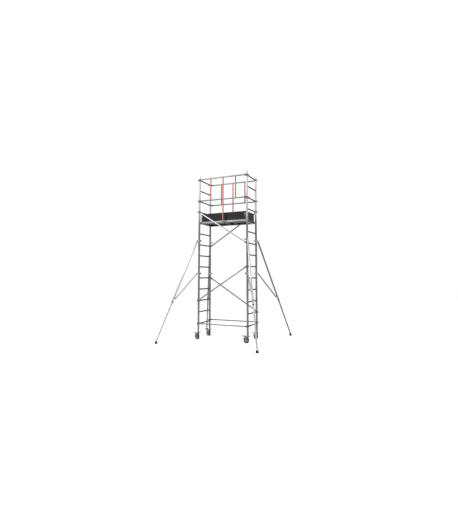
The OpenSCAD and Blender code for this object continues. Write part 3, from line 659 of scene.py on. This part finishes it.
CRIMP_REACHES = (0.094, 0.102)
CLAW_RIVET_REACHES = (0.040, 0.056)
FINGER_RIB_REACHES = (0.040, 0.044, 0.048, 0.052, 0.056)
FINGER_RIB_IN = 0.0044
# Painted light and shade: the bright tones go on the front upper diagonal and front stabilisers, which
# face the light, and the dull tones on the rear ones, which stand in shade; the rail tones are the tubes'
# own.
PAINTED_SHADE_TONES = (0.21, 0.214, 0.218), (0.135, 0.138, 0.141)
RAIL_TONES = (0.25, 0.254, 0.258), (0.16, 0.163, 0.166)
PAINTED_LIT_TONES = (0.48, 0.485, 0.49), (0.35, 0.355, 0.36)
LIT_AND_SHADED_BRACE_TONES = {"front_upper_diagonal": PAINTED_LIT_TONES, "rear_upper_diagonal": PAINTED_SHADE_TONES}


def brace_run(low_left, low_right):
    """Angle at which a brace climbs from left to right, and its length between the uprights."""
    climb = math.atan2(low_right - low_left, 2 * upright_x)
    return climb, 2 * upright_x / math.cos(climb)


def grooved_tube(radius, length):
    """A brace tube with two rolled grooves near each end, where the claws are pressed on."""
    groove, bite, rim = 2.2 * MM, 0.9 * MM, 0.4 * MM
    outside = [(radius - rim, 0), (radius, rim)]
    far_crimps = [length - reach for reach in reversed(CRIMP_REACHES)]
    for middle in (*CRIMP_REACHES, *far_crimps):
        outside += [(radius, middle - groove), (radius - bite, middle), (radius, middle + groove)]
    outside += [(radius, length - rim), (radius - rim, length)]
    inside = [(radius - BRACE_WALL, length), (radius - BRACE_WALL, 0)]
    return turned(outside + inside)


def brace_tubes():
    """One piece for each brace node, with the drawn lines of its finish along its tubes."""
    nodes = {}
    for node, side, radius, left, right in BRACES:
        nodes.setdefault(node, []).append((side, radius, left, right))
    for node, tubes in nodes.items():
        bm = bmesh.new()
        for side, radius, left, right in tubes:
            climb, length = brace_run(left, right)
            whole = length + 2 * TUBE_BACK
            place = at(0, side * (upright_y + BRACE_OFFSET), (left + right) / 2)
            place = place @ turn(QUARTER - climb, "Y") @ at(0, 0, -whole / 2)
            put(bm, grooved_tube(radius, whole), place)
        # The front upper diagonal takes painted lit tones and the rear one painted shaded tones; the other
        # braces and rails take the rail tones.
        bright, dull = LIT_AND_SHADED_BRACE_TONES.get(node, RAIL_TONES)
        drawn = drawn_aluminium(node + "_aluminium", bright, dull, (0, QUARTER - climb, 0))
        piece(node + "_tubes", bm, "tower", (drawn,), (node,))


brace_tubes()


def claw_rivets():
    """Two domed rivets through each claw socket and its tube."""
    bm = bmesh.new()
    rivet, sunk = dome(4.2 * MM, 2.4 * MM), 0.5 * MM
    for _, side, radius, left, right in BRACES:
        climb = brace_run(left, right)[0]
        face_y = side * (upright_y + BRACE_OFFSET + radius + CLAW_SOCKET_WALL - sunk)
        for side_x, height in ((-1, left), (1, right)):
            inward = Vector((-side_x * math.cos(climb), 0, -side_x * math.sin(climb)))
            for reach in CLAW_RIVET_REACHES:
                face = Vector((side_x * upright_x, face_y, height)) + inward * reach
                put(bm, rivet, Matrix.Translation(face) @ turn(-side * QUARTER, "X"))
    piece("claw_socket_rivets", bm, "tower", (BOLT_ZINC,))


def latch_grips():
    """Finger ribs on the thumb tab of each latch."""
    bm = bmesh.new()
    rib = block((1.4 * MM, 1.2 * MM, 15 * MM), 0.4 * MM)
    for _, side, _, left, right in BRACES:
        for side_x, height in ((-1, left), (1, right)):
            for reach in FINGER_RIB_REACHES:
                x = side_x * (upright_x + reach)
                put(bm, rib, at(x, side * (upright_y - FINGER_RIB_IN), height))
    piece("latch_finger_ribs", bm, "tower", (LATCH_RED,))


softened("brace_claws", "brace_claw_castings", "tower", (CLAW_CASTING,), 1.4 * MM, 3)
softened("claw_latches", "claw_sprung_latches", "tower", (LATCH_RED,), 1.2 * MM, 3)
claw_rivets()
latch_grips()
softened("guardrail_bars", "guardrail_upright_bars", "tower", (BAR_ORANGE,), 0.5 * MM)


def bar_welds():
    """Painted beads where the coloured bars meet the rails."""
    bm = bmesh.new()
    weld = saddle_weld(RUNG_R, RAIL_R)
    for side, middle in ((-1, FRONT_BAR_SHIFT), (1, REAR_BAR_SHIFT)):
        y = side * (upright_y + BRACE_OFFSET)
        spots = []
        for x in (middle - BAR_PITCH, middle, middle + BAR_PITCH):
            spots += [(x, rung_z(12), 1), (x, rung_z(14), -1)]
        spots.append((middle, rung_z(12), -1))
        for x, z, rise in spots:
            put(bm, weld, at(x, y, z) @ turn(QUARTER * rise, "X") @ turn(QUARTER, "Y"))
    piece("bar_end_welds", bm, "tower", (BAR_ORANGE,))


bar_welds()

# ---------------------------------------------------------------- platform

DECK_RAIL_W = 0.030
END_BEAM_HALF = 0.020
BEAM_RIVET_SHIFT = 0.008
SCREW_EDGE = 0.012
SCREW_PITCH_X = 0.12
SCREW_PITCH_Y = 0.07
PLATE_T = 0.0016
rail_low, rail_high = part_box("platform_frame")
rail_middle_z = (rail_low.z + rail_high.z) / 2
rail_out_y = rail_high.y
rail_in_y = rail_out_y - DECK_RAIL_W
hatch_low, hatch_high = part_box("trapdoor")


def grooved_side_rail(outward):
    """A side rail: bare metal with two grooves on the outer face, and the black beam coat below and
    inside; on the outer face the dark lower band is painted shade.
    """
    bm = bmesh.new()
    size = (rail_high.x - rail_low.x, DECK_RAIL_W, rail_high.z - rail_low.z)
    bmesh.ops.create_cube(bm, size=1, matrix=Matrix.Diagonal((*size, 1)))
    outer = [face for face in bm.faces if face.normal.y > 0.5]
    ends = [edge for edge in outer[0].edges if abs(edge.verts[0].co.z - edge.verts[1].co.z) > MM]
    bmesh.ops.subdivide_edges(bm, edges=ends, cuts=8, use_grid_fill=True)
    strips = [face for face in bm.faces if face.normal.y > 0.5]
    strips.sort(key=lambda face: face.calc_center_median().z)
    flange_z = strips[3].calc_center_median().z
    cut = [strips[4], strips[7]]
    bmesh.ops.inset_individual(bm, faces=cut, thickness=0.4 * MM, depth=0)
    grooves = list({vert for face in cut for vert in face.verts})
    bmesh.ops.translate(bm, vec=(0, -2 * MM, 0), verts=grooves)
    soften(bm, 0.8 * MM)
    # Painted shade: the outer face below the flange takes the black coat, for the shade on the lower part
    # of the rail.
    for face in bm.faces:
        middle = face.calc_center_median()
        bare = middle.z > flange_z - 4 * MM and middle.y > 0
        face.material_index = 0 if bare else 1
    bmesh.ops.scale(bm, vec=(1, outward, 1), verts=bm.verts)
    middle_y = outward * (rail_out_y - DECK_RAIL_W / 2)
    bmesh.ops.translate(bm, vec=(0, middle_y, rail_middle_z), verts=bm.verts)
    return shape(bm)


def platform_beams():
    """The platform's end beams and cross members, between two grooved side rails."""
    bm = from_frame("platform_frame")
    rails = [group for group in solids(bm) if (spans(group)[1] - spans(group)[0]).x > 1]
    bmesh.ops.delete(bm, geom=[face for group in rails for face in group], context="FACES")
    soften(bm, 1.5 * MM, 3)
    for face in bm.faces:
        face.material_index = 1
    for side in (-1, 1):
        rail = grooved_side_rail(side)
        bm.from_mesh(rail)
        bpy.data.meshes.remove(rail)
    finishes = (DECK_ALUMINIUM, BEAM_COAT)
    piece("platform_side_rails_and_beams", bm, "tower", finishes, ("platform_frame",))


def platform_rivets():
    """Rivets through the outer face of the side rails into each end beam and cross member."""
    bm = bmesh.new()
    rivet, sunk = dome(4.5 * MM, 2.2 * MM), 0.3 * MM
    end_beam_x = rail_high.x - END_BEAM_HALF
    cross_member_x = (hatch_low.x - rail_high.x) / 2
    for side in (-1, 1):
        for x in (-end_beam_x, cross_member_x, hatch_low.x, hatch_high.x, end_beam_x):
            for shift in (-BEAM_RIVET_SHIFT, BEAM_RIVET_SHIFT):
                face = at(x + shift, side * (rail_out_y - sunk), rail_middle_z)
                put(bm, rivet, face @ turn(-side * QUARTER, "X"))
    piece("platform_beam_rivets", bm, "tower", (BOLT_ZINC,))


def panel(node, name, body, face_film, ply_edge, across, rounding=0.8 * MM):
    """A board: film on its two large faces and bare plies round its edges."""
    bm = from_frame(node)
    soften(bm, rounding)
    for face in bm.faces:
        face.material_index = 0 if abs(face.normal[across]) > 0.7 else 1
    piece(name, bm, body, (face_film, ply_edge), (node,), smooth_below=20)


def deck_screws(name, body, places):
    """Countersunk screws: shallow heads with a round recess, flush with the board."""
    bm = bmesh.new()
    head = turned(
        [
            (1.0 * MM, -0.4 * MM),
            (2.0 * MM, 0.2 * MM),
            (4.6 * MM, 0.35 * MM),
            (5.0 * MM, 0.05 * MM),
            (5.0 * MM, -1 * MM),
            (1.0 * MM, -1 * MM),
        ],
        steps=20,
    )
    for x, y in places:
        put(bm, head, at(x, y, deck_z))
    piece(name, bm, body, (BOLT_ZINC,))


platform_beams()
platform_rivets()
softened("platform_hooks", "platform_rung_hooks", "tower", (ZINC,), 1.2 * MM, 3)
panel("deck_boards", "deck_panels", "tower", DECK_FILM, DECK_EDGE, 2)
panel("trapdoor", "trapdoor_panel", "trapdoor", DECK_FILM, DECK_EDGE, 2)
board_end_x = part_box("deck_boards")[0].x
screw_y = rail_in_y - SCREW_EDGE
side_screws_x = [board_end_x + 0.015 + step * SCREW_PITCH_X for step in range(6)]
screws = [(x, side * screw_y) for x in side_screws_x for side in (-1, 1)]
screws += [(board_end_x + 0.018, step * SCREW_PITCH_Y) for step in range(-2, 3)]
screws += [(hatch_high.x + 0.050, step * SCREW_PITCH_Y) for step in range(-3, 4)]
deck_screws("deck_panel_screws", "tower", screws)
softened("trapdoor_leaves", "trapdoor_hinge_leaves", "trapdoor", (ZINC,), 0.4 * MM)
softened("trapdoor_hinges", "trapdoor_hinge_knuckles", "tower", (ZINC,), 0.4 * MM)
softened(
    "trapdoor_latch", "trapdoor_turn_button", "trapdoor_latch", (BLACK_PLASTIC,), 0.8 * MM, 3
)


def trapdoor_edge_strips():
    """Two riveted steel strips that guard the free edge of the trapdoor."""
    bm = bmesh.new()
    strip_l = 0.150
    strip = block((strip_l, 10 * MM, PLATE_T), 0.6 * MM)
    rivet, rivet_pitch = dome(3 * MM, 1.2 * MM), 0.06
    y = hatch_low.y + 0.012
    middle = (hatch_low.x + hatch_high.x) / 2
    for x in (middle - strip_l, middle + strip_l):
        put(bm, strip, at(x, y, deck_z + PLATE_T / 2))
        for reach in (-rivet_pitch, 0, rivet_pitch):
            put(bm, rivet, at(x + reach, y, deck_z + PLATE_T))
    piece("trapdoor_edge_strips", bm, "trapdoor", (ZINC,))


trapdoor_edge_strips()


def toe_boards():
    """Boards on edge, with a coated cap strip on each end board and riveted corner plates."""
    panel("front_toe_board", "front_toe_panel", "tower", TOE_FILM, TOE_EDGE, 1, 2 * MM)
    panel("rear_toe_board", "rear_toe_panel", "tower", TOE_FILM, TOE_EDGE, 1, 2 * MM)
    panel("end_toe_boards", "end_toe_panels", "tower", END_TOE_FILM, END_TOE_EDGE, 0, 2 * MM)
    end_low, end_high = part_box("end_toe_boards")
    front_low, front_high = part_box("front_toe_board")
    board_t = front_high.y - front_low.y
    cap_l = end_high.y - end_low.y - 4 * MM
    lip_t, lip_h = 1.4 * MM, 16 * MM
    plate_w, plate_h, plate_rise = 38 * MM, 0.150, 0.085
    plate_y = end_high.y - 21 * MM
    plate_x = end_high.x - 20 * MM
    caps = bmesh.new()
    plates = bmesh.new()
    cap = block((board_t + 2.4 * MM, cap_l, PLATE_T), 0.5 * MM)
    lip = block((lip_t, cap_l, lip_h), 0.5 * MM)
    leg_plate = block((PLATE_T, plate_w, plate_h), 0.5 * MM)
    side_plate = block((plate_w, PLATE_T, plate_h), 0.5 * MM)
    rivet = dome(3.5 * MM, 1.8 * MM)
    proud = PLATE_T / 2 - 0.1 * MM
    for side_x in (-1, 1):
        x = side_x * (end_high.x - board_t / 2)
        face_x = side_x * (end_high.x + PLATE_T / 2)
        put(caps, cap, at(x, 0, end_high.z + PLATE_T / 2))
        for face in (-1, 1):
            put(caps, lip, at(x + face * (board_t + lip_t) / 2, 0, end_high.z + 0.5 * MM - lip_h / 2))
        for side_y in (-1, 1):
            face_y = side_y * (abs(front_low.y) + PLATE_T / 2)
            put(plates, leg_plate, at(face_x, side_y * plate_y, deck_z + plate_rise))
            put(plates, side_plate, at(side_x * plate_x, face_y, deck_z + plate_rise))
            for z in (deck_z + 0.030, deck_z + plate_rise, deck_z + 0.140):
                on_end = at(face_x + side_x * proud, side_y * plate_y, z)
                put(plates, rivet, on_end @ turn(side_x * QUARTER, "Y"))
                on_side = at(side_x * plate_x, face_y + side_y * proud, z)
                put(plates, rivet, on_side @ turn(-side_y * QUARTER, "X"))
    piece("toe_board_caps", caps, "tower", (CAP_COAT,))
    piece("toe_board_corner_plates", plates, "tower", (PLATE_COAT,))


toe_boards()

# ---------------------------------------------------------------- castors

TYRE_R = 0.075
TYRE_T = 0.019
TYRE_W = 0.038
TYRE_STEPS = 96
CASTOR_TRAIL = 0.045
CROWN_Z = 0.160
BOLT_HEAD_MOST = 0.03
PEDAL_RIB_PITCH = 0.004


def castor_place(corner):
    """Place of a castor: its swivel axis on Z and its trail on X."""
    axis = JOINTS[corner + "_roll"]["axis"]
    x, y, _ = JOINTS[corner + "_swivel"]["pos_m"]
    return at(x, y, 0) @ turn(math.atan2(-axis[0], axis[1]), "Z")


def treaded_tyre():
    """A solid tyre with two grooves round it and notches across its shoulders."""
    half, shoulder, groove = TYRE_W / 2, 7 * MM, 2.2 * MM
    inner = TYRE_R - TYRE_T
    outline = [
        (inner, -half + 2 * MM),
        (inner + 2 * MM, -half),
        (TYRE_R - shoulder, -half),
        (TYRE_R - 4.6 * MM, -half + 0.8 * MM),
        (TYRE_R - 2.1 * MM, -half + 3.2 * MM),
        (TYRE_R - 0.6 * MM, -half + shoulder),
        (TYRE_R, -half + 10 * MM),
        (TYRE_R - groove, -half + 10.8 * MM),
        (TYRE_R - groove, -half + 13 * MM),
        (TYRE_R, -half + 13.8 * MM),
    ]
    outline += [(radius, -height) for radius, height in reversed(outline)]
    bm = ring(outline, TYRE_STEPS)
    bmesh.ops.recalc_face_normals(bm, faces=bm.faces)
    notches = []
    for face in bm.faces:
        middle = face.calc_center_median()
        radius = math.hypot(middle.x, middle.y)
        step = round(math.atan2(middle.y, middle.x) / (2 * math.pi / TYRE_STEPS) - 0.5)
        on_shoulder = TYRE_R - 4 * MM < radius < TYRE_R - 0.2 * MM and abs(middle.z) > 9.5 * MM
        if on_shoulder and step % 3 == (0 if middle.z > 0 else 1):
            notches.append(face)
    bmesh.ops.inset_region(bm, faces=notches, thickness=0.5 * MM, depth=-1.6 * MM)
    return shape(bm)


def castor(corner, tyre):
    """Fork, tyre, wheel and brake pedal of one castor."""
    place = castor_place(corner)
    axle = place @ at(CASTOR_TRAIL, 0, TYRE_R) @ turn(QUARTER, "X")
    rolling = corner + "_rolling_wheel"

    node = corner + "_fork"
    fork = from_frame(node)
    bolts = [group for group in solids(fork) if (spans(group)[1] - spans(group)[0]).z < BOLT_HEAD_MOST]
    for face in (face for group in bolts for face in group):
        face.material_index = 1
    soften(fork, 0.9 * MM, 3)
    finishes = (FORK_ZINC, BOLT_ZINC)
    piece(corner + "_pressed_fork", fork, corner + "_castor", finishes, (node,))

    bm = bmesh.new()
    put(bm, tyre, axle)
    piece(corner + "_treaded_tyre", bm, rolling, (TYRE_RUBBER,), (corner + "_tyre",))

    node = corner + "_wheel"
    softened(node, corner + "_webbed_wheel", rolling, (WHEEL_PLASTIC,), 1.2 * MM, 3)

    node = corner + "_brake_pedal"
    pedal = from_frame(node)
    soften(pedal, 0.8 * MM, 2)
    rib = block((1.6 * MM, 52 * MM, 1.6 * MM), 0.5 * MM)
    back_tread = (CASTOR_TRAIL + TYRE_R + 14 * MM, CROWN_Z + 1.3 * MM, 9)
    front_tread = (-64 * MM, CROWN_Z + 8.3 * MM, 5)
    for start, height, count in (back_tread, front_tread):
        for number in range(count):
            put(pedal, rib, place @ at(start + number * PEDAL_RIB_PITCH, 0, height))
    piece(corner + "_ribbed_pedal", pedal, corner + "_brake", (PEDAL_ZINC,), (node,))


tyre_shape = treaded_tyre()
for corner in CORNERS:
    castor(corner, tyre_shape)
softened("castor_stems", "castor_swivel_stems", "tower", (ZINC,), 0.6 * MM)

# ---------------------------------------------------------------- stabilisers

STABILISER_R = 0.021
RING_BORE_R = 0.01885
RING_L = 0.034
RING_SEAT = 0.004
TUBE_LEAST = 0.5
CASTING_LEAST = 0.078
GRIP_OUT = 0.0081


def stabiliser_line(corner):
    """Place of the upright, the way out from it, the run of the tubes and the tilt pin's place."""
    pin = Vector(JOINTS[corner + "_foot_tilt"]["pos_m"])
    base = Vector(JOINTS[corner + "_stabiliser_swing"]["pos_m"])
    outward = Vector((pin.x - base.x, pin.y - base.y, 0)).normalized()
    return base, outward, Vector(JOINTS[corner + "_leg_slide"]["axis"]), pin


def sort_stabiliser(bm, base, outward):
    """Finish of each solid: tubes 0, castings 1, bolts 2 and the hand knob's grip 3."""
    for group in solids(bm):
        low, high = spans(group)
        middle = (low + high) / 2
        size = high - low
        if size.length > TUBE_LEAST:
            finish = 0
        elif max(size) > CASTING_LEAST:
            finish = 1
        else:
            finish = 2
        inner_side = (middle - Vector((base.x, base.y, middle.z))).dot(outward) < 0
        for face in group:
            face.material_index = finish
            grip = face.calc_center_median().y * math.copysign(1, base.y)
            if finish == 2 and inner_side and grip > abs(base.y) + GRIP_OUT:
                face.material_index = 3


def plug_ring(radius, bore, length):
    """A moulded ring on the end of the wide tube, with a tapered mouth round the leg."""
    return turned(
        [
            (bore, 0),
            (radius - 3 * MM, 0),
            (radius, 3 * MM),
            (radius + 2.6 * MM, 6 * MM),
            (radius + 2.6 * MM, length - 5 * MM),
            (radius + 2.0 * MM, length - 4 * MM),
            (radius + 2.6 * MM, length - 3 * MM),
            (radius + 2.6 * MM, length),
            (radius + 0.3 * MM, length),
            (radius + 0.3 * MM, 4 * MM),
            (bore, 4 * MM),
        ]
    )


def stabiliser(corner):
    """Wide tube, strut, inner leg, mouth ring and foot of one stabiliser."""
    base, outward, run, pin = stabiliser_line(corner)
    along = run.to_track_quat("Z", "Y").to_matrix().to_3x3()
    # Painted light and shade: front stabilisers take the lit tones, rear ones the shaded tones.
    tones = PAINTED_LIT_TONES if base.y < 0 else PAINTED_SHADE_TONES
    drawn = drawn_aluminium(corner + "_stabiliser_aluminium", *tones, tuple(along.to_euler()))
    finishes = (drawn, CLAMP_CASTING, BOLT_ZINC, BLACK_PLASTIC)
    body = corner + "_stabiliser"
    for node, name in ((body + "_tube", body + "_main_tube"), (body + "_strut", body + "_strut_tube")):
        bm = from_frame(node)
        sort_stabiliser(bm, base, outward)
        soften(bm, 0.9 * MM, 2)
        piece(name, bm, body, finishes, (node,))
    leg = body + "_leg"
    softened(leg, body + "_inner_leg", corner + "_leg", (drawn,), 0.6 * MM)

    tube_end_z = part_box(body + "_tube")[0].z
    mouth = pin - run * ((pin.z - tube_end_z) / run.z - RING_SEAT)
    bm = bmesh.new()
    facing = Matrix.Translation(mouth) @ along.to_4x4() @ turn(math.pi, "X")
    put(bm, plug_ring(STABILISER_R, RING_BORE_R, RING_L), facing)
    piece(body + "_mouth_ring", bm, body, (BLACK_PLASTIC,))

    foot = body + "_foot"
    softened(foot, body + "_rubber_foot", corner + "_foot", (FOOT_RUBBER,), 1.8 * MM, 3)


for corner in CORNERS:
    stabiliser(corner)

# ---------------------------------------------------------------- floor and light


def floor():
    bm = bmesh.new()
    bmesh.ops.create_circle(bm, cap_ends=True, radius=60, segments=96)
    mesh = bpy.data.meshes.new("studio_floor")
    bm.to_mesh(mesh)
    bm.free()
    finish = Finish("studio_floor", 0.0, specular=0.1)
    finish.shader.inputs["Base Color"].default_value = (0.97, 0.97, 0.97, 1)
    finish.shader.inputs["Roughness"].default_value = 0.95
    mesh.materials.append(finish.material)
    made = bpy.data.objects.new("studio_floor", mesh)
    made.location.z = -0.5 * MM
    bpy.context.scene.collection.objects.link(made)


def soft_light(name, place, aim, size, power):
    light = bpy.data.lights.new(name, "AREA")
    light.shape = "DISK"
    light.size = size
    light.energy = power
    made = bpy.data.objects.new(name, light)
    made.location = place
    made.rotation_mode = "QUATERNION"
    made.rotation_quaternion = (Vector(aim) - Vector(place)).to_track_quat("-Z", "Y")
    bpy.context.scene.collection.objects.link(made)


floor()
soft_light("key_light", (-3.2, -5.0, 6.8), (0, 0, 3.4), 2.6, 420)
soft_light("side_light", (8.0, 2.5, 5.0), (0, 0, 2.0), 4.0, 90)
sky = bpy.data.worlds.new("studio_sky")
sky.use_nodes = True
sky.node_tree.nodes["Background"].inputs["Color"].default_value = (1, 1, 1, 1)
sky.node_tree.nodes["Background"].inputs["Strength"].default_value = 1.03
bpy.context.scene.world = sky
bpy.context.scene.view_settings.view_transform = "Standard"
